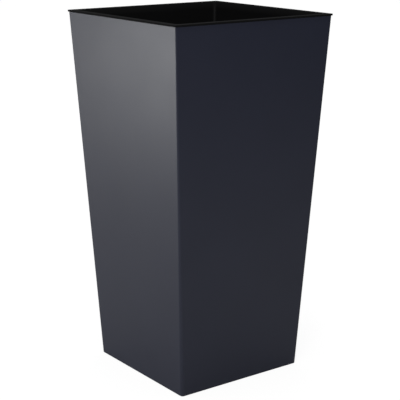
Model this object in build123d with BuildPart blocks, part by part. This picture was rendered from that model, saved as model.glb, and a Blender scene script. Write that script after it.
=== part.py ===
from build123d import *
import os

os.makedirs("parts", exist_ok=True)

# Square tapered planter: a tall outer shell, a liner that hangs in its mouth,
# two handles that lift the liner out, and a plug in the shell's drain hole.
# Sizes are in millimetres. The planter stands on z = 0, with its axis on Z.

# Outer shell
total_height = 610.0  # from the ground to the top of the liner's flange
base_width = 246.0  # outside, at the ground
rim_width = 310.0  # outside, at the shell's rim
shell_wall = 2.5
base_corner_radius = 5.5  # upright outer corners, at the ground
rim_corner_radius = 1.5  # upright outer corners, at the rim
shell_bore_radius = 3.0  # upright inner corners
base_edge_radius = 1.5  # outer edge that stands on the ground
rim_edge_radius = 0.5  # both edges of the rim
floor_lift = 10.0  # from the ground to the floor's underside
floor_thickness = 3.0
rib_count = 3  # stiffening ribs each way under the floor
rib_thickness = 2.0
rib_depth = 6.0

# Drain hole and its plug
drain_radius = 10.0
drain_boss_wall = 6.0  # thickening around the hole, under the floor
plug_clearance = 0.15  # between the plug's shank and the hole, all round
plug_head_radius = 16.0
plug_head_thickness = 3.0
plug_nose_length = 2.0  # how far the shank comes out below the boss
plug_nose_chamfer = 1.5
plug_edge_radius = 1.0
tab_width = 22.0  # upright tab that the plug is pulled out by
tab_thickness = 4.0
tab_height = 14.0
tab_corner_radius = 6.0

# Liner
flange_thickness = 3.0
flange_overhang = 1.5  # how far the flange stands out past the shell's rim
flange_corner_radius = 1.0
flange_edge_radius = 0.5
liner_depth = 320.0  # from the top of the flange to the liner's underside
liner_gap = 5.0  # air gap between the liner's wall and the shell's wall
liner_wall = 2.0
liner_floor = 2.5
liner_bore_radius = 6.0  # upright inner corners
collar_clearance = 0.4  # between the collar under the flange and the shell
collar_wall = 2.0
collar_depth = 8.0
liner_foot_radius = 10.0
liner_foot_height = 8.0
liner_foot_inset = 22.0  # from the liner's outside to a foot's centre
seep_radius = 4.0  # holes in the liner's floor
seep_spacing = 50.0
seep_count = 4  # each way

# Lifting handles, one on each side wall of the liner
handle_bar_radius = 3.0
handle_bend_radius = 8.0  # along the bar's centre line
handle_span = 110.0  # between the centre lines of the two legs
handle_drop = 70.0  # from the hinge down to the grip, when it hangs
grip_radius = 6.0
grip_length = 70.0
grip_edge_radius = 2.0
hinge_depth = 34.0  # from the top of the flange down to the hinge
hinge_reach = 12.0  # from the liner's wall inwards to the hinge
hinge_clearance = 0.1  # between the bar and its hole, all round
ear_wall = 4.0  # around the hinge hole
ear_thickness = 5.0
ear_gusset = 10.0  # how far an ear's root runs down below its round end
ear_gap = 1.0  # from the end of the bar's bend to the ear
pin_overrun = 2.0  # how far the bar comes out past the ear

# Heights that follow from these
rim_height = total_height - flange_thickness
floor_top = floor_lift + floor_thickness
rib_bottom = floor_lift - rib_depth
liner_bottom = total_height - liner_depth
liner_floor_top = liner_bottom + liner_floor
hinge_height = total_height - hinge_depth


def shell_width(height):
    """Outside width of the shell, which widens evenly from base to rim."""
    return base_width + (rim_width - base_width) * height / rim_height


def shell_bore(height):
    """Width between the inner faces of the shell's walls."""
    return shell_width(height) - 2 * shell_wall


def collar_width(height):
    """Outside width of the collar that centres the liner in the rim."""
    return shell_bore(height) - 2 * collar_clearance


def collar_bore(height):
    """Width between the inner faces of the collar."""
    return collar_width(height) - 2 * collar_wall


def liner_width(height):
    """Outside width of the liner, whose walls run beside the shell's."""
    return shell_bore(height) - 2 * liner_gap


def liner_bore(height):
    """Width between the inner faces of the liner's walls."""
    return liner_width(height) - 2 * liner_wall


def tapered_block(width_at, low, high, radius, high_radius=None):
    """Square block between two heights, as wide at each as width_at says.
    Its upright edges have one radius, or another at the top where one is given."""
    with BuildPart(mode=Mode.PRIVATE) as block:
        with BuildSketch(Plane.XY.offset(low)):
            RectangleRounded(width_at(low), width_at(low), radius)
        with BuildSketch(Plane.XY.offset(high)):
            RectangleRounded(width_at(high), width_at(high), high_radius or radius)
        loft(ruled=True)
    return block.part


# Outer shell: four tapered walls round a floor that stands clear of the ground
with BuildPart() as outer_shell:
    add(tapered_block(shell_width, 0, rim_height, base_corner_radius, rim_corner_radius))
    fillet(outer_shell.edges().group_by(Axis.Z)[0], base_edge_radius)
    inside = tapered_block(shell_bore, floor_top, rim_height, shell_bore_radius)
    underside = tapered_block(shell_bore, 0, floor_lift, shell_bore_radius)
    add([inside, underside], mode=Mode.SUBTRACT)
    fillet(outer_shell.faces().sort_by(Axis.Z)[-1].edges(), rim_edge_radius)

    # Ribs under the floor, whose ends run into the walls
    rib_length = shell_bore(rib_bottom) + shell_wall
    rib_spacing = shell_bore(rib_bottom) / (rib_count + 1)
    with BuildSketch(Plane.XY.offset(floor_lift)):
        with GridLocations(0, rib_spacing, 1, rib_count):
            Rectangle(rib_length, rib_thickness)
        with GridLocations(rib_spacing, 0, rib_count, 1):
            Rectangle(rib_thickness, rib_length)
        Circle(drain_radius + drain_boss_wall)
    extrude(amount=-rib_depth)

    # Drain hole through the floor and its boss
    with BuildSketch(Plane.XY.offset(rib_bottom)):
        Circle(drain_radius)
    extrude(amount=floor_top - rib_bottom, mode=Mode.SUBTRACT)

outer_shell.part.label = "outer_shell"
export_step(outer_shell.part, "parts/outer_shell.step")


# Drain plug: a head on the floor, a shank in the hole and a tab to pull
plug_shank_radius = drain_radius - plug_clearance
plug_nose_bottom = rib_bottom - plug_nose_length
plug_head_top = floor_top + plug_head_thickness

with BuildPart() as drain_plug:
    with BuildSketch(Plane.XY.offset(floor_top)):
        Circle(plug_head_radius)
    extrude(amount=plug_head_thickness)
    fillet(drain_plug.edges().group_by(Axis.Z)[-1], plug_edge_radius)
    with BuildSketch(Plane.XY.offset(floor_top)):
        Circle(plug_shank_radius)
    extrude(amount=plug_nose_bottom - floor_top)
    chamfer(drain_plug.edges().group_by(Axis.Z)[0], plug_nose_chamfer)
    with BuildSketch(Plane.XZ) as tab:
        with Locations((0, plug_head_top)):
            Rectangle(tab_width, tab_height, align=(Align.CENTER, Align.MIN))
        fillet(tab.vertices().group_by(Axis.Y)[-1], tab_corner_radius)
    extrude(amount=tab_thickness / 2, both=True)

drain_plug.part.label = "drain_plug"
export_step(drain_plug.part, "parts/drain_plug.step")


# Places of the hinges, which follow the slope of the liner's wall
hinge_x = liner_bore(hinge_height) / 2 - hinge_reach
leg_y = handle_span / 2
ear_inner_y = leg_y + handle_bend_radius + ear_gap
ear_outer_y = ear_inner_y + ear_thickness
ear_radius = handle_bar_radius + hinge_clearance + ear_wall
ear_root_top = hinge_height + ear_radius
ear_root_bottom = hinge_height - ear_radius - ear_gusset


def ear_root(height):
    """Point in the middle of the liner's wall that an ear grows from."""
    return (liner_bore(height) + liner_wall) / 2, height


def hinge_ear(low_y):
    """One ear on the +X wall, from low_y to its thickness beyond."""
    with BuildPart(mode=Mode.PRIVATE) as ear:
        with BuildSketch(Plane.XZ.offset(-low_y)):
            with BuildLine():
                Line(ear_root(ear_root_bottom), ear_root(ear_root_top))
            with Locations((hinge_x, hinge_height)):
                Circle(ear_radius)
            make_hull()
            with Locations((hinge_x, hinge_height)):
                Circle(handle_bar_radius + hinge_clearance, mode=Mode.SUBTRACT)
        extrude(amount=-ear_thickness)
    return ear.part


# Liner: an insert that hangs by its flange, with a collar that centres it
flange_width = rim_width + 2 * flange_overhang
liner_corner_radius = liner_bore_radius + liner_wall
foot_spacing = liner_width(liner_bottom) - 2 * liner_foot_inset

with BuildPart() as liner:
    collar_bottom = rim_height - collar_depth
    add(tapered_block(collar_width, collar_bottom, rim_height, shell_bore_radius))
    inside_collar = tapered_block(collar_bore, collar_bottom, rim_height, shell_bore_radius)
    add(inside_collar, mode=Mode.SUBTRACT)
    with BuildSketch(Plane.XY.offset(rim_height)):
        RectangleRounded(flange_width, flange_width, flange_corner_radius)
    extrude(amount=flange_thickness)
    add(tapered_block(liner_width, liner_bottom, rim_height, liner_corner_radius))
    inside_liner = tapered_block(liner_bore, liner_floor_top, total_height, liner_bore_radius)
    add(inside_liner, mode=Mode.SUBTRACT)
    fillet(liner.faces().sort_by(Axis.Z)[-1].edges(), flange_edge_radius)

    # Feet, on which the liner stands when it is out of the shell
    with BuildSketch(Plane.XY.offset(liner_bottom)):
        with GridLocations(foot_spacing, foot_spacing, 2, 2):
            Circle(liner_foot_radius)
    extrude(amount=-liner_foot_height)

    # Seep holes in the floor
    with BuildSketch(Plane.XY.offset(liner_bottom)):
        with GridLocations(seep_spacing, seep_spacing, seep_count, seep_count):
            Circle(seep_radius)
    extrude(amount=liner_floor, mode=Mode.SUBTRACT)

    # Ears for the handles on both side walls
    ears = [hinge_ear(-ear_outer_y), hinge_ear(ear_inner_y)]
    add(ears)
    mirror(ears, about=Plane.YZ)

liner.part.label = "liner"
export_step(liner.part, "parts/liner.step")


def lift_handle(side, label):
    """Handle that hangs from its hinge, on the liner's wall at side -1 or 1."""
    grip_height = hinge_height - handle_drop
    pin_end_y = ear_outer_y + pin_overrun
    with BuildPart() as handle:
        with BuildLine(Plane.YZ.offset(side * hinge_x)) as bar:
            FilletPolyline(
                (-pin_end_y, hinge_height),
                (-leg_y, hinge_height),
                (-leg_y, grip_height),
                (leg_y, grip_height),
                (leg_y, hinge_height),
                (pin_end_y, hinge_height),
                radius=handle_bend_radius,
            )
        with BuildSketch(Plane(bar.line @ 0, z_dir=bar.line % 0)):
            Circle(handle_bar_radius)
        sweep(path=bar.line)
        with BuildSketch(Plane.XZ) as grip:
            with Locations((side * hinge_x, grip_height)):
                Circle(grip_radius)
        extrude(amount=grip_length / 2, both=True)
        grip_ends = handle.edges().filter_by(
            lambda edge: edge.geom_type == GeomType.CIRCLE and edge.radius == grip_radius
        )
        fillet(grip_ends, grip_edge_radius)
    handle.part.label = label
    export_step(handle.part, f"parts/{label}.step")


lift_handle(-1, "lift_handle_left")
lift_handle(1, "lift_handle_right")
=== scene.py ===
"""Looks of the square tapered planter: a satin anthracite shell, a black liner
with its two handles, and a rubber drain plug."""

import math

import bpy
from mathutils import Matrix, Vector

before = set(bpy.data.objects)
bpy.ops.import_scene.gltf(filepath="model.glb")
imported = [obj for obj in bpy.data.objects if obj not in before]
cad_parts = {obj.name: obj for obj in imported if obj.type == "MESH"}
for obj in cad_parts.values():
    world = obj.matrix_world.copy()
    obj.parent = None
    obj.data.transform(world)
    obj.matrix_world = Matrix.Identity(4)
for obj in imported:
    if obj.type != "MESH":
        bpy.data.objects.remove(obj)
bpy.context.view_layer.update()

# Lengths are in metres and angles in degrees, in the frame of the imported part.

# Camera, from a fit to the planter's corners and edges in the photograph
PICTURE_PIXELS = 400
FOCAL_PIXELS = 1152.2
SENSOR_MM = 36.0
CAMERA_PLACE = Vector((-1.1362, -1.5441, 0.7854))
CAMERA_HEADING = 36.451  # from +Y towards +X
CAMERA_DIP = 14.516  # below level
CAMERA_ROLL = 0.053

# Stage
FLOOR_HALF = 16.0
FLOOR_PALE = (0.4, 0.4, 0.4, 1.0)  # what lights the planter from below
FLOOR_SHADE = 0.16  # colour of the part of the floor's white that shadow dims
FLOOR_GLOW = 0.9  # the rest of it beside the planter, seen by the camera alone
SHADOW_REACH = (0.5, 2.5)  # where the floor's white stops needing lamps
WORLD_GREY = (0.5, 0.51, 0.53, 1.0)
WORLD_STRENGTH = 0.02

# Plastic
NOISE_MIDDLE = (0.3, 0.7)  # where most of a noise's values lie
CLOUDS, SHEEN_PATCHES, RUB_PATCHES = 9.0, 14.0, 60.0  # features to a metre
UNEVEN = 0.04  # share by which the clouds lighten and darken a colour
SHEEN_UNEVEN = 0.05  # share by which the patches change the roughness
EDGE_TURNS = (0.86, 0.995)  # cosines between a face and the rounding of its edge
RUBBED_ROUGHER = 0.12
TOP_ROUGHER = 0.35
# Painted light and shade: below these heights the liner is painted darker, as the shade inside it,
# and above them paler, as light on its flange top
LIT_TOP_HEIGHTS = (0.597, 0.6085)  # where the liner's black turns to its flange's greyer one

# Lamps
LAMP_AIM = (0.0, 0.0, 0.4)


def new_material(name):
    """A new node material, its tree and its Principled shader."""
    material = bpy.data.materials.new(name)
    material.use_nodes = True
    shader = material.node_tree.nodes["Principled BSDF"]
    return material, material.node_tree, shader


def noise(tree, scale, detail=2.0):
    """Noise in the piece's own coordinates, with about scale features to a metre."""
    place = tree.nodes.new("ShaderNodeTexCoord")
    texture = tree.nodes.new("ShaderNodeTexNoise")
    texture.inputs["Scale"].default_value = scale
    texture.inputs["Detail"].default_value = detail
    tree.links.new(place.outputs["Object"], texture.inputs["Vector"])
    return texture.outputs["Fac"]


def spread(tree, value, low, high, start=NOISE_MIDDLE[0], end=NOISE_MIDDLE[1]):
    """Maps start to end, by default the middle of a noise, onto low to high."""
    node = tree.nodes.new("ShaderNodeMapRange")
    node.inputs["From Min"].default_value = start
    node.inputs["From Max"].default_value = end
    node.inputs["To Min"].default_value = low
    node.inputs["To Max"].default_value = high
    tree.links.new(value, node.inputs["Value"])
    return node.outputs["Result"]


def combine(tree, operation, first, second):
    """One number from two, by a Math operation."""
    node = tree.nodes.new("ShaderNodeMath")
    node.operation = operation
    tree.links.new(first, node.inputs[0])
    tree.links.new(second, node.inputs[1])
    return node.outputs["Value"]


def mix_colours(tree, factor, first, second):
    """Colour between two, each a socket or a colour."""
    node = tree.nodes.new("ShaderNodeMix")
    node.data_type = "RGBA"
    tree.links.new(factor, node.inputs["Factor"])
    for name, colour in (("A", first), ("B", second)):
        socket = next(i for i in node.inputs if i.name == name and i.type == "RGBA")
        if isinstance(colour, bpy.types.NodeSocket):
            tree.links.new(colour, socket)
        else:
            socket.default_value = [*colour, 1.0]
    return next(o for o in node.outputs if o.type == "RGBA")


def rubbed_edges(tree, radius):
    """From 0 to 1 where an edge within a radius is rubbed, in patches along it."""
    bevel = tree.nodes.new("ShaderNodeBevel")
    bevel.samples = 6
    bevel.inputs["Radius"].default_value = radius
    surface = tree.nodes.new("ShaderNodeNewGeometry")
    turn = tree.nodes.new("ShaderNodeVectorMath")
    turn.operation = "DOT_PRODUCT"
    tree.links.new(bevel.outputs["Normal"], turn.inputs[0])
    tree.links.new(surface.outputs["Normal"], turn.inputs[1])
    edges = spread(tree, turn.outputs["Value"], 1.0, 0.0, *EDGE_TURNS)
    patches = spread(tree, noise(tree, RUB_PATCHES, detail=5.0), 0.25, 1.0)
    return combine(tree, "MULTIPLY", edges, patches)


def height(tree):
    """Height above the ground of a point, where its piece is at rest."""
    place = tree.nodes.new("ShaderNodeTexCoord")
    split = tree.nodes.new("ShaderNodeSeparateXYZ")
    tree.links.new(place.outputs["Object"], split.inputs["Vector"])
    return split.outputs["Z"]


def moulded_plastic(
    name, colour, roughness, grain_scale, grain_height, specular=0.5, rub=0.3, edge=0.0025, painted_lit_top=None
):
    """Moulded plastic: cloudy colour, uneven sheen, a fine grain, and edges that
    handling has made paler and duller. The grain's height and the edge are in metres.
    Where a top colour is given, the top of the piece is painted that paler colour and made rougher:
    painted light on the top, above an inside left darker as painted shade."""
    material, tree, shader = new_material(name)
    cloudy = mix_colours(
        tree,
        spread(tree, noise(tree, CLOUDS, detail=4.0), 0.0, 1.0),
        [c * (1.0 - UNEVEN) for c in colour],
        [c * (1.0 + UNEVEN) for c in colour],
    )
    dull, bright = roughness * (1.0 + SHEEN_UNEVEN), roughness * (1.0 - SHEEN_UNEVEN)
    sheen = spread(tree, noise(tree, SHEEN_PATCHES, detail=5.0), bright, dull)
    # Painted light and shade: the top is painted paler and made rougher, while the darker colour
    # below stands in for the shade inside the piece
    if painted_lit_top:
        lit_top_share = spread(tree, height(tree), 0.0, 1.0, *LIT_TOP_HEIGHTS)
        cloudy = mix_colours(tree, lit_top_share, cloudy, painted_lit_top)
        sheen = combine(tree, "ADD", sheen, spread(tree, lit_top_share, 0.0, TOP_ROUGHER, 0.0, 1.0))
    worn = rubbed_edges(tree, edge)
    worn_share = spread(tree, worn, 0.0, rub, start=0.0, end=1.0)
    pale = [c * 1.6 + 0.012 for c in colour]
    tree.links.new(mix_colours(tree, worn_share, cloudy, pale), shader.inputs["Base Color"])
    dulled = spread(tree, worn, 0.0, RUBBED_ROUGHER, start=0.0, end=1.0)
    tree.links.new(combine(tree, "ADD", sheen, dulled), shader.inputs["Roughness"])
    shader.inputs["Specular IOR Level"].default_value = specular
    bump = tree.nodes.new("ShaderNodeBump")
    bump.inputs["Distance"].default_value = grain_height
    tree.links.new(noise(tree, grain_scale, detail=3.0), bump.inputs["Height"])
    tree.links.new(bump.outputs["Normal"], shader.inputs["Normal"])
    return material


def dress(node, material):
    """Gives a CAD node its material."""
    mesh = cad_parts[node].data
    mesh.materials.clear()
    mesh.materials.append(material)


def dress_planter():
    """Materials of all five pieces."""
    shell = moulded_plastic("anthracite_satin", (0.0235, 0.0268, 0.0475), 0.38, 1000.0, 0.00002)
    # The liner's black is darker than black plastic, as painted shade inside the liner, and paler on
    # its flange top, as painted light there
    liner = moulded_plastic(
        "black_liner", (0.0042, 0.0042, 0.0044), 0.55, 700.0, 0.00004,
        specular=0.1, rub=0.12, edge=0.0008, painted_lit_top=(0.0072, 0.0072, 0.0076),
    )
    handle = moulded_plastic(
        "black_handle", (0.011, 0.011, 0.0115), 0.36, 800.0, 0.00003, edge=0.0015
    )
    plug = moulded_plastic(
        "black_rubber", (0.012, 0.012, 0.0125), 0.7, 1200.0, 0.00004, specular=0.25, edge=0.0015
    )
    dress("outer_shell", shell)
    dress("liner", liner)
    dress("lift_handle_left", handle)
    dress("lift_handle_right", handle)
    dress("drain_plug", plug)


def lay_floor():
    """Pale floor, white to the camera, that keeps the planter's shadow."""
    corners = [(-1, -1), (1, -1), (1, 1), (-1, 1)]
    mesh = bpy.data.meshes.new("floor")
    mesh.from_pydata([(x * FLOOR_HALF, y * FLOOR_HALF, 0) for x, y in corners], [], [(0, 1, 2, 3)])
    floor = bpy.data.objects.new("floor", mesh)
    bpy.context.scene.collection.objects.link(floor)
    material, tree, shader = new_material("pale_floor")
    tree.nodes.remove(shader)
    path = tree.nodes.new("ShaderNodeLightPath")
    pale = tree.nodes.new("ShaderNodeBsdfDiffuse")
    pale.inputs["Color"].default_value = FLOOR_PALE
    shaded = tree.nodes.new("ShaderNodeBsdfDiffuse")
    shaded.inputs["Color"].default_value = (FLOOR_SHADE, FLOOR_SHADE, FLOOR_SHADE, 1.0)
    glow = tree.nodes.new("ShaderNodeEmission")
    place = tree.nodes.new("ShaderNodeTexCoord")
    away = tree.nodes.new("ShaderNodeVectorMath")
    away.operation = "LENGTH"
    fade = tree.nodes.new("ShaderNodeMapRange")
    fade.interpolation_type = "SMOOTHSTEP"
    fade.inputs["From Min"].default_value, fade.inputs["From Max"].default_value = SHADOW_REACH
    fade.inputs["To Min"].default_value, fade.inputs["To Max"].default_value = FLOOR_GLOW, 1.0
    tree.links.new(place.outputs["Object"], away.inputs[0])
    tree.links.new(away.outputs["Value"], fade.inputs["Value"])
    tree.links.new(fade.outputs["Result"], glow.inputs["Strength"])
    seen = tree.nodes.new("ShaderNodeAddShader")
    tree.links.new(shaded.outputs["BSDF"], seen.inputs[0])
    tree.links.new(glow.outputs["Emission"], seen.inputs[1])
    choice = tree.nodes.new("ShaderNodeMixShader")
    tree.links.new(path.outputs["Is Camera Ray"], choice.inputs["Fac"])
    tree.links.new(pale.outputs["BSDF"], choice.inputs[1])
    tree.links.new(seen.outputs["Shader"], choice.inputs[2])
    output = tree.nodes["Material Output"]
    tree.links.new(choice.outputs["Shader"], output.inputs["Surface"])
    mesh.materials.append(material)


def light_world():
    """Soft grey light from all round, white where the camera sees it."""
    world = bpy.data.worlds.new("studio")
    bpy.context.scene.world = world
    world.use_nodes = True
    tree = world.node_tree
    soft = tree.nodes["Background"]
    soft.inputs["Color"].default_value = WORLD_GREY
    soft.inputs["Strength"].default_value = WORLD_STRENGTH
    white = tree.nodes.new("ShaderNodeBackground")
    white.inputs["Color"].default_value = (1.0, 1.0, 1.0, 1.0)
    path = tree.nodes.new("ShaderNodeLightPath")
    choice = tree.nodes.new("ShaderNodeMixShader")
    tree.links.new(path.outputs["Is Camera Ray"], choice.inputs["Fac"])
    tree.links.new(soft.outputs["Background"], choice.inputs[1])
    tree.links.new(white.outputs["Background"], choice.inputs[2])
    tree.links.new(choice.outputs["Shader"], tree.nodes["World Output"].inputs["Surface"])


def softbox(name, place, width, height, watts):
    """Rectangular soft lamp at a place, facing the planter."""
    lamp = bpy.data.lights.new(name, "AREA")
    lamp.shape = "RECTANGLE"
    lamp.size, lamp.size_y = width, height
    lamp.energy = watts
    box = bpy.data.objects.new(name, lamp)
    box.visible_camera = False
    bpy.context.scene.collection.objects.link(box)
    box.location = place
    box.rotation_euler = (Vector(LAMP_AIM) - Vector(place)).to_track_quat("-Z", "Y").to_euler()


def light_planter():
    """A soft light overhead, one at the front left, and two low strips behind on the
    left, whose sheen the left face shows."""
    softbox("overhead", (0.0, 0.0, 2.8), 1.8, 1.8, 59.5)
    softbox("front_left", (-1.6, -1.6, 1.4), 0.9, 0.9, 27.0)
    softbox("back_left", (-1.635, 1.472, 0.28), 0.9, 0.55, 10.3)
    softbox("left", (-1.299, 0.75, 0.28), 0.9, 0.55, 1.9)


def place_camera():
    """Camera at the photograph's viewing angle."""
    data = bpy.data.cameras.new("photo_view")
    data.sensor_width = SENSOR_MM
    data.lens = FOCAL_PIXELS / PICTURE_PIXELS * SENSOR_MM
    camera = bpy.data.objects.new("photo_view", data)
    bpy.context.scene.collection.objects.link(camera)
    heading = Matrix.Rotation(math.radians(-CAMERA_HEADING), 4, "Z")
    dip = Matrix.Rotation(math.radians(90.0 - CAMERA_DIP), 4, "X")
    roll = Matrix.Rotation(math.radians(CAMERA_ROLL), 4, "Z")
    camera.matrix_world = Matrix.Translation(CAMERA_PLACE) @ heading @ dip @ roll
    bpy.context.scene.camera = camera


bpy.context.scene.view_settings.view_transform = "Standard"
place_camera()
dress_planter()
lay_floor()
light_world()
light_planter()
